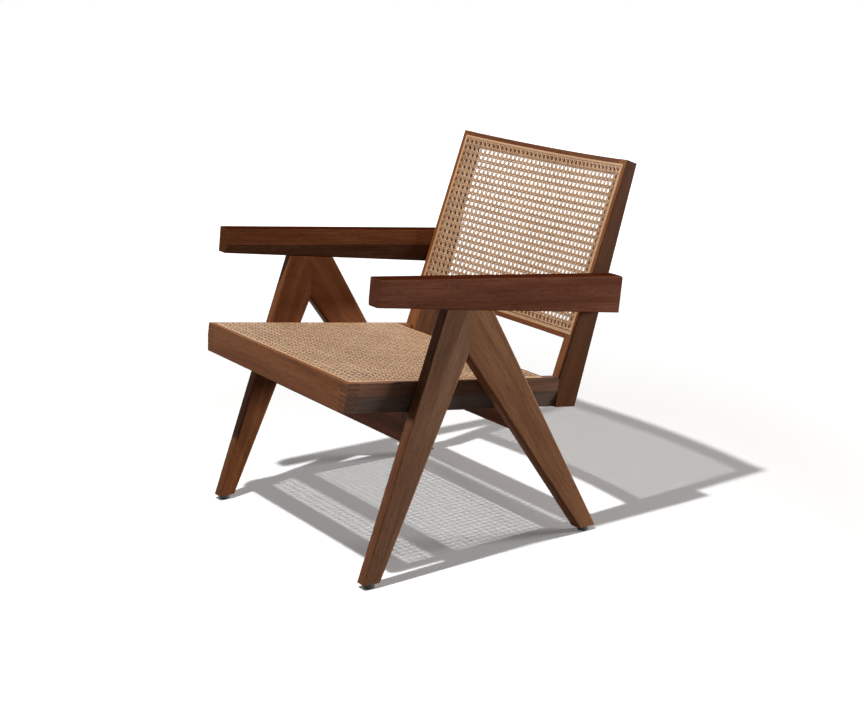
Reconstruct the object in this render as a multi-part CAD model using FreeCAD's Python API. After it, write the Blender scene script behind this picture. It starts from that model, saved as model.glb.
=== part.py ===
"""Caned easy chair: inverted-V legs under tapered arms, a sloping caned seat and a bowed caned back.

Millimetres, +Z up, the front of the chair towards -Y.  Left and right are as seen from the front.
Each piece is closed, stands in its assembled place and goes to parts/NAME.step.  Screws of one kind share
a file, and so do the strips of the back's cane.
"""
import FreeCAD
import Part
import math
import os

# Side profile, measured back from the front edge of the front foot and up from the floor.
overall_width = 600.0
leg_thickness = 28.0
side_clearance = 2.0
front_foot_depth = 37.0
front_edge_lean_share = 0.376
crotch_y = 233.0
crotch_z = 409.5
rear_foot_front_y = 509.0
rear_foot_depth = 43.0
rear_edge_lean_share = 0.5425
leg_edge_radius = 3.5
leg_inside_radius = 6.0
ridge_foot_share = 0.79
ridge_top_share = 0.90
facet_fall_share = 0.10

# Glides under the feet.
glide_diameter = 22.0
glide_height = 10.0
spigot_diameter = 6.0
spigot_length = 14.0

# Arms.
arm_front_y = 38.5
arm_front_top_z = 583.6
arm_tail = 41.5
arm_top_fall_degrees = 6.57
arm_front_height = 52.5
arm_rear_height = 75.0
arm_face_height = 34.0
arm_bevel_share = 0.194
arm_overhang = 1.5
arm_edge_radius = 3.5
arm_end_radius = 2.4
arm_rear_radius = 10.0
arm_corner_facets = 3

# Seat frame, in the sloping plane of the seat.
seat_front_y = -10.5
seat_front_z = 393.5
seat_fall_degrees = 8.3
seat_rail_height = 58.0
seat_rail_thickness = 24.5
seat_side_length = 490.0
seat_rear_setback = 26.0
seat_face_height = 25.0
seat_bevel_depth = 6.4
seat_edge_radius = 1.5
finger_count = 12

# Back frame, along the reclined line of the stiles.
recline_degrees = 20.85
back_length = 445.0
stile_thickness = 29.0
stile_seat_depth = 58.0
stile_top_depth = 27.0
stile_edge_radius = 1.5
bow_depth = 25.0
bow_corner_facets = 2
back_rail_height = 29.0
back_rail_depth = 24.0
back_rail_edge_radius = 1.5
bottom_rail_rise = 77.5

# Cross rails between the legs.
cross_rail_thickness = 24.0
front_cross_y = 117.5
front_cross_bottom_z = 251.0
rear_cross_y = 371.5
rear_cross_bottom_z = 230.0

# Cane panels and the reed splines that hold them.
cane_thickness = 1.2
cane_lip = 1.0
cane_border = 8.0
cane_columns = 9
seat_cane_rows = 8
back_cane_rows = 6
back_cane_strips = 3
cane_open_share = 0.47
groove_inset = 12.5
groove_width = 6.4
groove_depth = 8.0
spline_rise = 1.0
spline_round = 0.9
seating_gap = 0.1

# Joinery.
tenon_thickness = 11.0
tenon_length = 17.0
tenon_shoulder = 8.0
arm_tenon_length = 20.0
mitre_tongue_length = 16.0
mitre_tongue_thickness = 9.0
mitre_tongue_shares = (0.33, 0.75)
back_tenon_cover = 2.0
mortise_clearance = 0.2
screw_diameter = 4.5
screw_head_diameter = 9.0
screw_head_height = 3.0
seat_screw_bite = 24.0
seat_screw_grip = 26.0
arm_screw_bite = 18.0
screw_clearance = 0.2
small_round_flats = 12

# Larger than the chair, for trimming solids.
beyond = 2000.0

Vector = FreeCAD.Vector
x_axis = Vector(1, 0, 0)
y_axis = Vector(0, 1, 0)
z_axis = Vector(0, 0, 1)

leg_outer_x = overall_width / 2
leg_inner_x = leg_outer_x - leg_thickness
leg_middle_x = (leg_outer_x + leg_inner_x) / 2
frame_half_width = leg_inner_x - side_clearance
arm_outer_x = leg_outer_x + arm_overhang
arm_inner_x = frame_half_width
foot_z = glide_height

seat_fall = math.radians(seat_fall_degrees)
seat_along = Vector(0, math.cos(seat_fall), -math.sin(seat_fall))
seat_up = Vector(0, math.sin(seat_fall), math.cos(seat_fall))
seat_corner = Vector(0, seat_front_y, seat_front_z)

recline = math.radians(recline_degrees)
back_up = Vector(0, math.sin(recline), math.cos(recline))
back_rear = Vector(0, math.cos(recline), -math.sin(recline))
back_foot = seat_corner + seat_along * seat_side_length
bow_radius = (frame_half_width ** 2 + bow_depth ** 2) / (2 * bow_depth)
bow_centre = back_foot - back_rear * (bow_radius - bow_depth)

arm_fall = math.radians(arm_top_fall_degrees)
arm_along = Vector(0, math.cos(arm_fall), -math.sin(arm_fall))
arm_down = Vector(0, -math.sin(arm_fall), -math.cos(arm_fall))
arm_corner = Vector(0, arm_front_y, arm_front_top_z)
arm_middle = arm_corner + arm_down * (arm_rear_height / 2)
stile_middle = back_foot + back_rear * ((stile_seat_depth + stile_top_depth) / 4)
arm_at_stile = (stile_middle - arm_middle).dot(back_rear) / arm_along.dot(back_rear)
arm_length = arm_at_stile + arm_tail


def seat_point(x, along, up):
    return seat_corner + seat_along * along + seat_up * up + x_axis * x


def back_point(x, behind, up):
    return back_foot + back_rear * behind + back_up * up + x_axis * x


def arm_point(x, along, down):
    return arm_corner + arm_along * along + arm_down * down + x_axis * x


def side_point(x, y, z):
    return Vector(x, y, z)


def polygon(points):
    return Part.makePolygon(points + [points[0]])


def swept(outline, run):
    """Solid left by a flat outline carried along a run."""
    return Part.Face(polygon(outline)).extrude(run)


def flat_sided(first, second):
    """Solid with flat sides between two outlines of as many corners."""
    faces = [Part.Face(polygon(first)), Part.Face(polygon(second))]
    for i in range(len(first)):
        corners = [first[i - 1], first[i], second[i], second[i - 1]]
        faces.append(Part.Face(polygon(corners)))
    shell = Part.makeShell(faces)
    shell.sewShape()
    solid = Part.makeSolid(shell)
    if solid.Volume < 0:
        solid.reverse()
    return solid


def prism(place, outline, x0, x1):
    """Outline of (a, b) pairs in one of the local frames, carried across from x0 to x1."""
    return swept([place(x0, a, b) for a, b in outline], x_axis * (x1 - x0))


def block(place, x0, x1, a0, a1, b0, b1):
    return prism(place, [(a0, b0), (a1, b0), (a1, b1), (a0, b1)], x0, x1)


def softened(corners, radii, facets):
    """Outline whose corners are eased by small facets, each over its own radius, or left where that is 0."""
    points = []
    for i, corner in enumerate(corners):
        back = (corners[i - 1] - corner).normalize() * radii[i]
        ahead = (corners[(i + 1) % len(corners)] - corner).normalize() * radii[i]
        if radii[i]:
            turns = [math.pi / 2 * step / facets for step in range(facets + 1)]
            points += [corner + back * (1 - math.sin(a)) + ahead * (1 - math.cos(a)) for a in turns]
        else:
            points.append(corner)
    return points


def mirrored(shape):
    return shape.mirror(Vector(0, 0, 0), x_axis)


def rounded(shape, radius, wanted):
    """Rounds the edges for which wanted(edge) holds."""
    return shape.makeFillet(radius, [edge for edge in shape.Edges if wanted(edge)])


def middle(edge):
    return edge.valueAt((edge.FirstParameter + edge.LastParameter) / 2)


def near(a, b):
    return abs(a - b) < seating_gap / 2


arm_under_front = arm_point(0, 0, arm_front_height)
arm_under_rear = arm_point(0, arm_length, arm_rear_height)
arm_under_slope = (arm_under_rear.z - arm_under_front.z) / (arm_under_rear.y - arm_under_front.y)


def arm_under_z(y):
    """Height of the arm's underside at a place along the chair."""
    return arm_under_front.z + arm_under_slope * (y - arm_under_front.y)


def seat_under_z(y):
    """Height of the seat frame's underside at a place along the chair."""
    corner = seat_point(0, 0, -seat_rail_height)
    return corner.z - math.tan(seat_fall) * (y - corner.y)


def meet_arm(start_y, lean):
    """Where a leg edge starting at foot level with a lean reaches the arm's underside."""
    slope = arm_under_slope * lean
    z = (arm_under_z(start_y) - slope * foot_z) / (1 - slope)
    return start_y + lean * (z - foot_z), z


rear_foot_rear_y = rear_foot_front_y + rear_foot_depth
front_top_y, front_top_z = meet_arm(0, front_edge_lean_share)
rear_top_y, rear_top_z = meet_arm(rear_foot_rear_y, -rear_edge_lean_share)
mitre_top_z = arm_under_z(crotch_y)


def side_edges(start, end):
    """Picks the edges that run between two corners of a side outline."""
    y = (start[0] + end[0]) / 2
    z = (start[1] + end[1]) / 2

    def wanted(edge):
        place = middle(edge)
        return near(place.y, y) and near(place.z, z)

    return wanted


def leg_blank(inside_foot, outside_foot, outside_top):
    """One right-hand leg with square edges."""
    outline = [outside_foot, inside_foot, (crotch_y, crotch_z), (crotch_y, mitre_top_z), outside_top]
    return prism(side_point, outline, leg_inner_x, leg_outer_x)


def eased_leg(blank, inside_foot, outside_foot, outside_top):
    """The leg with its long edges rounded, the two inside the V more than the two outside."""
    shape = rounded(blank, leg_inside_radius, side_edges(inside_foot, (crotch_y, crotch_z)))
    return rounded(shape, leg_edge_radius, side_edges(outside_foot, outside_top))


def ridge_wedge():
    """What is planed off the front leg's outer face in front of its long ridge."""
    ridge_top_y = front_top_y + (crotch_y - front_top_y) * ridge_top_share
    foot = Vector(leg_outer_x, front_foot_depth * ridge_foot_share, foot_z)
    top = Vector(leg_outer_x, ridge_top_y, arm_under_z(ridge_top_y))
    run = (top - foot).normalize()
    forward = (Vector(0, -run.z, run.y) - x_axis * facet_fall_share) * beyond
    low = foot - run * beyond
    outline = [low, low + forward, low + forward + x_axis * beyond, low + x_axis * beyond]
    return swept(outline, run * beyond * 2)


def arm_mortise_outline(front, gap):
    """Side outline of the tenon at a leg's top, or with a gap of its mortise."""
    if front:
        y0 = front_top_y + tenon_shoulder
        y1 = crotch_y - tenon_shoulder / 2
    else:
        y0 = crotch_y + tenon_shoulder / 2
        y1 = rear_top_y - tenon_shoulder
    low = mitre_top_z - arm_tenon_length
    return [(y0 - gap, low), (y1 + gap, low),
            (y1 + gap, arm_under_z(y1) + arm_tenon_length + gap),
            (y0 - gap, arm_under_z(y0) + arm_tenon_length + gap)]


def leg_top_tenon(front, gap):
    half = tenon_thickness / 2 + gap
    return prism(side_point, arm_mortise_outline(front, gap), leg_middle_x - half, leg_middle_x + half)


def mitre_tongue(gap):
    """Tongue of the rear leg let into the front leg across the mitre."""
    half = mitre_tongue_thickness / 2 + gap
    low, high = [crotch_z + (mitre_top_z - crotch_z) * share for share in mitre_tongue_shares]
    return block(side_point, leg_middle_x - half, leg_middle_x + half,
                 crotch_y - mitre_tongue_length - gap, crotch_y + mitre_tongue_length,
                 low - gap, high + gap)


def cross_rail(y, bottom_z):
    """Rail between the legs, its top planed to the slope of the seat, tenoned at both ends."""
    y1 = y + cross_rail_thickness
    outline = [(y, bottom_z), (y1, bottom_z), (y1, seat_under_z(y1)), (y, seat_under_z(y))]
    shape = prism(side_point, outline, -leg_inner_x, leg_inner_x)

    def low_edge(edge):
        place = middle(edge)
        return near(place.z, bottom_z) and near(place.x, 0)

    return rounded(shape, leg_edge_radius, low_edge).fuse(cross_tenon(y, bottom_z, 0))


def cross_tenon(y, bottom_z, gap):
    half = tenon_thickness / 2 + gap
    centre = y + cross_rail_thickness / 2
    reach = leg_inner_x + tenon_length + gap
    top_z = seat_under_z(y + cross_rail_thickness) - tenon_shoulder
    return block(side_point, -reach, reach, centre - half, centre + half,
                 bottom_z + tenon_shoulder - gap, top_z + gap)


def arm_section(along, height):
    inset = (height - arm_face_height) * arm_bevel_share
    return [arm_point(arm_outer_x, along, 0), arm_point(arm_inner_x, along, 0),
            arm_point(arm_inner_x, along, arm_face_height),
            arm_point(arm_inner_x + inset, along, height),
            arm_point(arm_outer_x, along, height)]


def arm():
    """Right arm: deepens to the rear, plain outside, two facets inside, eased in all three views."""
    shape = flat_sided(arm_section(0, arm_front_height), arm_section(arm_length, arm_rear_height))
    middle_height = (arm_front_height + arm_rear_height) / 2

    def long_edge(edge):
        place = middle(edge) - arm_corner
        down = place.dot(arm_down)
        return near(place.dot(arm_along), arm_length / 2) and (near(down, 0) or near(down, middle_height))

    shape = rounded(shape, arm_edge_radius, long_edge)
    side = [(0, 0), (arm_length, 0), (arm_length, arm_rear_height), (0, arm_front_height)]
    side_radii = (arm_end_radius, arm_rear_radius, arm_end_radius, arm_end_radius)
    side_corners = [arm_point(arm_inner_x, along, down) for along, down in side]
    side_view = swept(softened(side_corners, side_radii, arm_corner_facets), x_axis * beyond)
    plan = [(arm_inner_x, 0), (arm_outer_x, 0), (arm_outer_x, arm_length), (arm_inner_x, arm_length)]
    plan_corners = [arm_point(x, along, -beyond) for x, along in plan]
    plan_view = swept(softened(plan_corners, [arm_end_radius] * len(plan), arm_corner_facets),
                      arm_down * beyond * 2)
    return shape.common(side_view).common(plan_view)


def bow_edge(x, behind):
    """How far a line concentric with the bow lies behind the straight line between the stiles."""
    return math.sqrt((bow_radius + behind) ** 2 - x ** 2) - (bow_radius - bow_depth)


def bow_block(x0, x1, front, rear, s0, s1):
    """Solid between two concentric bows, from x0 to x1 across and s0 to s1 up the back."""
    stations = (x0, (x0 + x1) / 2, x1)
    front_line = [back_point(x, bow_edge(x, front), s0) for x in stations]
    rear_line = [back_point(x, bow_edge(x, rear), s0) for x in reversed(stations)]
    edges = [
        Part.Arc(*front_line).toShape(), Part.makeLine(front_line[2], rear_line[0]),
        Part.Arc(*rear_line).toShape(), Part.makeLine(rear_line[2], front_line[0]),
    ]
    return Part.Face(Part.Wire(edges)).extrude(back_up * (s1 - s0))


def bow_sweep(corners, radii, reach):
    """Solid left by a section of (behind, up) corners carried along the bow, cut square at both ends."""
    points = [back_point(0, bow_edge(0, behind), up) for behind, up in corners]
    section = Part.Face(polygon(softened(points, radii, bow_corner_facets)))
    turn = 2 * math.degrees(math.asin(leg_outer_x / bow_radius))
    section.rotate(bow_centre, back_up, -turn / 2)
    return section.revolve(bow_centre, back_up, turn).common(
        block(side_point, -reach, reach, -beyond, beyond, -beyond, beyond))


def ring(maker, half, near_end, far_end, wall, low, high):
    """Frame-shaped solid of a given wall inside the rectangle half wide, near_end to far_end long."""
    outer = maker(-half, half, near_end, far_end, low, high)
    inner = half - wall
    return outer.cut(maker(-inner, inner, near_end + wall, far_end - wall, low, high))


def seat_slab(x0, x1, u0, u1, low, high):
    return block(seat_point, x0, x1, u0, u1, low, high)


def back_slab(x0, x1, s0, s1, front, rear):
    return bow_block(x0, x1, front, rear, s0, s1)


seat_inner_x = frame_half_width - seat_rail_thickness
seat_rear_edge = seat_side_length - seat_rear_setback
groove_half = frame_half_width - groove_inset + groove_width / 2
panel_half = groove_half - groove_width + cane_lip
open_half = panel_half - cane_border
seat_groove_ends = (groove_inset - groove_width / 2, seat_rear_edge - groove_inset + groove_width / 2)
back_groove_ends = (bottom_rail_rise + groove_inset - groove_width / 2,
                    back_length - groove_inset + groove_width / 2)
panel_margin = groove_width - cane_lip


def seat_groove():
    return ring(seat_slab, groove_half, *seat_groove_ends, groove_width, -groove_depth, groove_depth)


def back_groove():
    return ring(back_slab, groove_half, *back_groove_ends, groove_width, -groove_depth, groove_depth)


def seat_section():
    """Outline across the seat frame: upright above, leaning in slightly below."""
    half = frame_half_width
    low = frame_half_width - seat_bevel_depth
    corners = [(half, 0), (half, -seat_face_height), (low, -seat_rail_height),
               (-low, -seat_rail_height), (-half, -seat_face_height), (-half, 0)]
    return [seat_point(x, 0, up) for x, up in corners]


def seat_blank():
    """Whole seat frame before it is divided into rails, its outer edges rounded."""
    shape = swept(seat_section(), seat_along * seat_side_length)

    def outer_edge(edge):
        place = middle(edge) - seat_corner
        at_rear = near(place.dot(seat_along), seat_side_length)
        at_face = near(place.dot(seat_up), 0) or near(place.dot(seat_up), -seat_rail_height)
        return at_face and not at_rear

    return rounded(shape, seat_edge_radius, outer_edge)


def fingers(first):
    """Every second finger of the right front corner, starting with the first or the second from the top."""
    height = seat_rail_height / finger_count
    layers = [
        block(seat_point, seat_inner_x, beyond, -beyond, seat_rail_thickness, -(i + 1) * height, -i * height)
        for i in range(first, finger_count, 2)
    ]
    return Part.makeCompound(layers)


def side_rail_tenon(gap):
    half = tenon_thickness / 2 + gap
    centre = frame_half_width - seat_rail_thickness / 2
    return block(seat_point, centre - half, centre + half,
                 seat_side_length - tenon_length, seat_side_length + tenon_length + gap,
                 -seat_rail_height + tenon_shoulder - gap, -groove_depth - tenon_shoulder + gap)


def rear_rail_tenon(gap):
    half = tenon_thickness / 2 + gap
    centre = seat_rear_edge - seat_rail_thickness / 2
    reach = seat_inner_x + tenon_length + gap
    return block(seat_point, -reach, reach, centre - half, centre + half,
                 -seat_rail_height + tenon_shoulder - gap, -groove_depth - tenon_shoulder + gap)


def seat_side_rail():
    blank = seat_blank().common(
        block(seat_point, seat_inner_x, beyond, -beyond, beyond, -beyond, beyond))
    blank = blank.cut(fingers(0)).cut(seat_groove())
    return blank.cut(rear_rail_tenon(mortise_clearance)).fuse(side_rail_tenon(0))


def seat_front_rail():
    blank = seat_blank().common(
        block(seat_point, -beyond, beyond, -beyond, seat_rail_thickness, -beyond, beyond))
    odd = fingers(1)
    return blank.cut(odd).cut(mirrored(odd)).cut(seat_groove())


def seat_rear_rail():
    blank = block(seat_point, -seat_inner_x, seat_inner_x,
                  seat_rear_edge - seat_rail_thickness, seat_rear_edge, -seat_rail_height, 0)

    def rear_top(edge):
        place = middle(edge) - seat_corner
        return near(place.dot(seat_along), seat_rear_edge) and near(place.x, 0)

    return rounded(blank, seat_edge_radius, rear_top).cut(seat_groove()).fuse(rear_rail_tenon(0))


stile_inner_x = frame_half_width - stile_thickness
joint_turn = recline - seat_fall


def stile_outline(x):
    """Side outline of the stile at a place across: a foot square to the seat, then the tapering recline."""
    set_back = bow_edge(x, 0)
    taper = (stile_seat_depth - stile_top_depth) / back_length
    seat_depth = stile_seat_depth + set_back
    foot_s = (seat_depth * math.sin(joint_turn) - seat_rail_height) / (
        math.cos(joint_turn) + taper * math.sin(joint_turn))
    clear = bow_depth
    return [
        seat_point(x, seat_side_length, -seat_rail_height),
        back_foot + seat_up * (clear / math.sin(joint_turn)) + x_axis * x,
        back_point(x, -clear, back_length),
        back_point(x, stile_top_depth + set_back, back_length),
        back_point(x, seat_depth - taper * foot_s, foot_s),
    ]


def stile():
    """Right stile, its front hollowed to the bow of the back."""
    blank = flat_sided(stile_outline(frame_half_width), stile_outline(stile_inner_x))
    reach = stile_seat_depth + bow_depth
    hollow = bow_block(-leg_outer_x, leg_outer_x, -reach, 0, -back_length, 2 * back_length)
    blank = blank.cut(hollow)

    def long_edge(edge):
        ends = [vertex.Point for vertex in edge.Vertexes]
        run = ends[1] - ends[0]
        return run.Length > back_length / 2

    return rounded(blank, stile_edge_radius, long_edge)


def back_rail(s0):
    """Bowed rail between the stiles."""
    s1 = s0 + back_rail_height
    corners = [(0, s0), (back_rail_depth, s0), (back_rail_depth, s1), (0, s1)]
    blank = bow_sweep(corners, [back_rail_edge_radius] * len(corners), stile_inner_x)
    return blank.cut(back_groove()).fuse(back_rail_tenon(s0, 0))


def back_rail_tenon(s0, gap):
    reach = stile_inner_x + tenon_length + gap
    front = groove_depth + back_tenon_cover - gap
    return bow_block(-reach, reach, front, front + tenon_thickness + 2 * gap,
                     s0 + tenon_shoulder - gap, s0 + back_rail_height - tenon_shoulder + gap)


def spans(start, end, count):
    """Starts and ends of the openings in a row of so many."""
    pitch = (end - start) / count
    half = pitch * cane_open_share / 2
    middles = [start + pitch * (i + 1 / 2) for i in range(count)]
    return [(place - half, place + half) for place in middles]


def openings(maker, near_end, far_end, rows):
    """Plain grid of openings, each in the place of a few holes of the weave."""
    return Part.makeCompound([
        maker(*across, *along, -groove_depth, groove_depth)
        for across in spans(-open_half, open_half, cane_columns)
        for along in spans(near_end + cane_border, far_end - cane_border, rows)
    ])


def panel(maker, ends, rows, face_low, face_high, lip_low, lip_high):
    """Thin open panel with its edges turned down into the groove."""
    near_end = ends[0] + panel_margin
    far_end = ends[1] - panel_margin
    sheet = maker(-panel_half, panel_half, near_end, far_end, face_low, face_high)
    sheet = sheet.cut(openings(maker, near_end, far_end, rows))
    lip = ring(maker, panel_half, near_end, far_end, cane_lip, lip_low, lip_high)
    return sheet.fuse(lip).removeSplitter()


def upright_strips(sheet, count):
    """A bowed panel in upright strips, each nearly flat, parted between two columns of openings."""
    inner_cuts = [open_half * (2 * i / count - 1) for i in range(1, count)]
    cuts = [-beyond] + inner_cuts + [beyond]
    return Part.makeCompound([
        sheet.common(block(side_point, x0, x1, -beyond, beyond, -beyond, beyond))
        for x0, x1 in zip(cuts, cuts[1:])
    ])


def seat_strip(x0, x1, u0, u1):
    """Reed spline of the seat, its exposed long edges rounded."""
    shape = block(seat_point, x0, x1, u0, u1, -groove_depth, spline_rise)
    lengthwise = max(x1 - x0, u1 - u0)

    def exposed(edge):
        return near(edge.Length, lengthwise) and (middle(edge) - seat_corner).dot(seat_up) > 0

    return rounded(shape, spline_round, exposed)


def back_strip(x0, x1, s0, s1):
    """Reed spline of the back: upright beside a stile, or bowed where it reaches across the middle."""
    if x0 < 0:
        corners = [(groove_depth, s0), (groove_depth, s1), (-spline_rise, s1), (-spline_rise, s0)]
        return bow_sweep(corners, (0, 0, spline_round, spline_round), x1)
    shape = bow_block(x0, x1, -spline_rise, groove_depth, s0, s1)

    def exposed(edge):
        place = middle(edge)
        in_front = (place - back_foot).dot(back_rear) < bow_edge(place.x, 0)
        return near(edge.Length, s1 - s0) and in_front

    return rounded(shape, spline_round, exposed)


def splines(name, strip, ends):
    """Four splines of one groove: the two side ones run through, the other two lie between them."""
    outer = groove_half - seating_gap
    inner = panel_half + seating_gap
    near_out = ends[0] + seating_gap
    near_in = ends[0] + panel_margin - seating_gap
    far_in = ends[1] - panel_margin + seating_gap
    far_out = ends[1] - seating_gap
    right = strip(inner, outer, near_out, far_out)
    return {
        name + "_right": right,
        name + "_left": mirrored(right),
        name + "_near": strip(-inner, inner, near_out, near_in),
        name + "_far": strip(-inner, inner, far_in, far_out),
    }


def slim_bar(base, direction, diameter, length):
    """Slim bar or hole across the chair or upright, its round section cut in flats."""
    aside = direction.cross(y_axis)
    turns = [2 * math.pi * i / small_round_flats for i in range(small_round_flats)]
    corners = [base + (aside * math.cos(a) + y_axis * math.sin(a)) * (diameter / 2) for a in turns]
    return swept(corners, direction * length)


def screw(tip, direction, length, gap, bore):
    """Round-headed screw from its tip to its head, or with a gap its hole, which a bore carries on."""
    shank = slim_bar(tip, direction, screw_diameter + 2 * gap, length)
    head_diameter = screw_head_diameter + 2 * gap
    head = slim_bar(tip + direction * length, direction, head_diameter, screw_head_height + bore)
    return shank.fuse(head)


def seat_screw(y, gap, bore):
    """Screw up through a cross rail into the seat rail, its head deep in the cross rail."""
    centre = y + cross_rail_thickness / 2
    tip = Vector(frame_half_width - seat_rail_thickness / 2, centre, seat_under_z(centre) + seat_screw_bite)
    return screw(tip, z_axis * -1, seat_screw_bite + seat_screw_grip, gap, bore)


def arm_screw(gap):
    """Screw through the stile into the arm, where the middle lines of the two cross."""
    tip = arm_point(arm_inner_x + arm_screw_bite, arm_at_stile, arm_rear_height / 2)
    return screw(tip, x_axis * -1, arm_screw_bite + stile_thickness, gap, 0)


def glide(y):
    """Round glide with the spigot that holds it in the foot."""
    foot = Vector(leg_middle_x, y, 0)
    body = Part.makeCylinder(glide_diameter / 2, glide_height, foot)
    return body.fuse(slim_bar(foot + z_axis * glide_height, z_axis, spigot_diameter, spigot_length))


def spigot_hole(y):
    return slim_bar(Vector(leg_middle_x, y, 0), z_axis, spigot_diameter + 2 * mortise_clearance,
                    glide_height + spigot_length + mortise_clearance)


front_glide_y = front_foot_depth / 2
rear_glide_y = rear_foot_front_y + rear_foot_depth / 2

front_corners = [(front_foot_depth, foot_z), (0, foot_z), (front_top_y, front_top_z)]
front_leg = eased_leg(leg_blank(*front_corners).cut(ridge_wedge()), *front_corners)
front_leg = front_leg.fuse(leg_top_tenon(True, 0)).cut(mitre_tongue(mortise_clearance))
front_leg = front_leg.cut(cross_tenon(front_cross_y, front_cross_bottom_z, mortise_clearance))
front_leg = front_leg.cut(spigot_hole(front_glide_y))
rear_corners = [(rear_foot_front_y, foot_z), (rear_foot_rear_y, foot_z), (rear_top_y, rear_top_z)]
rear_leg = eased_leg(leg_blank(*rear_corners), *rear_corners)
rear_leg = rear_leg.fuse(leg_top_tenon(False, 0)).fuse(mitre_tongue(0))
rear_leg = rear_leg.cut(cross_tenon(rear_cross_y, rear_cross_bottom_z, mortise_clearance))
rear_leg = rear_leg.cut(spigot_hole(rear_glide_y))
right_arm = arm()
for front in (True, False):
    right_arm = right_arm.cut(leg_top_tenon(front, mortise_clearance))
right_stile = stile().cut(back_groove()).cut(side_rail_tenon(mortise_clearance))
back_rail_places = {"back_bottom_rail": bottom_rail_rise, "back_top_rail": back_length - back_rail_height}
for rise in back_rail_places.values():
    right_stile = right_stile.cut(back_rail_tenon(rise, mortise_clearance))
right_stile = right_stile.cut(arm_screw(screw_clearance))
right_arm = right_arm.cut(arm_screw(0))
right_rail = seat_side_rail()
cross_rails = {}
for name, y, bottom_z in (("front_cross_rail", front_cross_y, front_cross_bottom_z),
                          ("rear_cross_rail", rear_cross_y, rear_cross_bottom_z)):
    hole = seat_screw(y, screw_clearance, seat_rail_height)
    cross_rails[name] = cross_rail(y, bottom_z).cut(hole).cut(mirrored(hole))
    right_rail = right_rail.cut(seat_screw(y, 0, 0))

paired = {
    "front_leg": front_leg, "rear_leg": rear_leg, "arm": right_arm, "stile": right_stile,
    "seat_rail": right_rail, "front_glide": glide(front_glide_y), "rear_glide": glide(rear_glide_y),
}
pieces = {}
for name, shape in paired.items():
    pieces["right_" + name] = shape
    pieces["left_" + name] = mirrored(shape)
pieces.update(cross_rails)
pieces["seat_front_rail"] = seat_front_rail()
pieces["seat_rear_rail"] = seat_rear_rail()
for name, rise in back_rail_places.items():
    pieces[name] = back_rail(rise)
pieces["seat_cane"] = panel(seat_slab, seat_groove_ends, seat_cane_rows, 0, cane_thickness, -groove_depth, 0)
back_panel = panel(back_slab, back_groove_ends, back_cane_rows, -cane_thickness, 0, 0, groove_depth)
pieces["back_cane"] = upright_strips(back_panel, back_cane_strips)
pieces.update(splines("seat_spline", seat_strip, seat_groove_ends))
pieces.update(splines("back_spline", back_strip, back_groove_ends))
groups = {
    "seat_screws": [seat_screw(y, 0, 0) for y in (front_cross_y, rear_cross_y)],
    "arm_screws": [arm_screw(0)],
}
for name, right in groups.items():
    pieces[name] = Part.makeCompound(right + [mirrored(shape) for shape in right])

box = Part.makeCompound(list(pieces.values())).optimalBoundingBox(False, False)
to_centre = Vector(0, -box.Center.y, 0)
os.makedirs("parts", exist_ok=True)
for name, shape in pieces.items():
    shape.translate(to_centre)
    shape.exportStep("parts/" + name + ".step")
    print(name, len(shape.Solids), shape.isValid(), round(shape.Volume))
print("box", box.XLength, box.YLength, box.ZLength, "moved", to_centre.y)
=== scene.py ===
# %% [markdown]
# This lesson dresses a low easy chair: a frame of dark, oiled hardwood with woven cane in its seat and back.
# The solid model gives every rail, leg and arm at its true size, so nothing here moves or reshapes them.
# What Blender adds is what a solid model leaves out: the grain of the wood, the open weave of the cane,
# the fibres of the reed that holds the cane in its groove, and the light of a plain studio.

# %% Load the solid model
import math

import bpy
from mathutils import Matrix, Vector


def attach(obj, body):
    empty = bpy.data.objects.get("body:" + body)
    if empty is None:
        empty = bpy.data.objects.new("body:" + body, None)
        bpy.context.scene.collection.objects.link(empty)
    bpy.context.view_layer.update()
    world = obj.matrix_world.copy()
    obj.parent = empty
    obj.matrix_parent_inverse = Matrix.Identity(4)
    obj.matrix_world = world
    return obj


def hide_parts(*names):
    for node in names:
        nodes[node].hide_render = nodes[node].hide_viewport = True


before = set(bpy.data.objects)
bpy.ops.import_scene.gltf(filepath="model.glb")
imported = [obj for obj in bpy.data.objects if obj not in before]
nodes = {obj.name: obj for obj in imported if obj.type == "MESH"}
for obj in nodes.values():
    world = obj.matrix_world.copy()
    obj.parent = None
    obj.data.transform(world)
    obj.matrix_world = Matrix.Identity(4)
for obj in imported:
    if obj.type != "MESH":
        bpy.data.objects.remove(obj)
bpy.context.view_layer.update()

# %% [markdown]
# Three slopes rule the chair: the seat falls to the rear, the back reclines, and the arms fall a little too.
# Each slope gives a direction along the piece and, for the two panels, one square to it. Grain runs along
# the pieces, and the weave lies in the planes of the seat and the back, so these few vectors are used all
# through the lesson.

# %% Directions of the chair
seat_fall = math.radians(8.3)
back_recline = math.radians(20.85)
arm_fall = math.radians(6.57)
front_leg_lean = 0.433
rear_leg_lean = -0.615

across = Vector((1, 0, 0))
seat_along = Vector((0, math.cos(seat_fall), -math.sin(seat_fall)))
seat_up = Vector((0, math.sin(seat_fall), math.cos(seat_fall)))
back_up = Vector((0, math.sin(back_recline), math.cos(back_recline)))
back_rear = Vector((0, math.cos(back_recline), -math.sin(back_recline)))
arm_along = Vector((0, math.cos(arm_fall), -math.sin(arm_fall)))
front_leg_along = Vector((0, front_leg_lean, 1)).normalized()
rear_leg_along = Vector((0, rear_leg_lean, 1)).normalized()
print("seat falls", round(math.degrees(seat_fall), 2), "degrees")
print("back reclines", round(math.degrees(back_recline), 2), "degrees")

# %% [markdown]
# Shader nodes are easier to read when each is made and wired in one line. The first helper adds a node, sets
# its properties and its inputs, and links an input when it is given another node's socket instead of a
# number. The others name the few nodes that come up again and again: sums, ranges, mixes and ramps.

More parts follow.
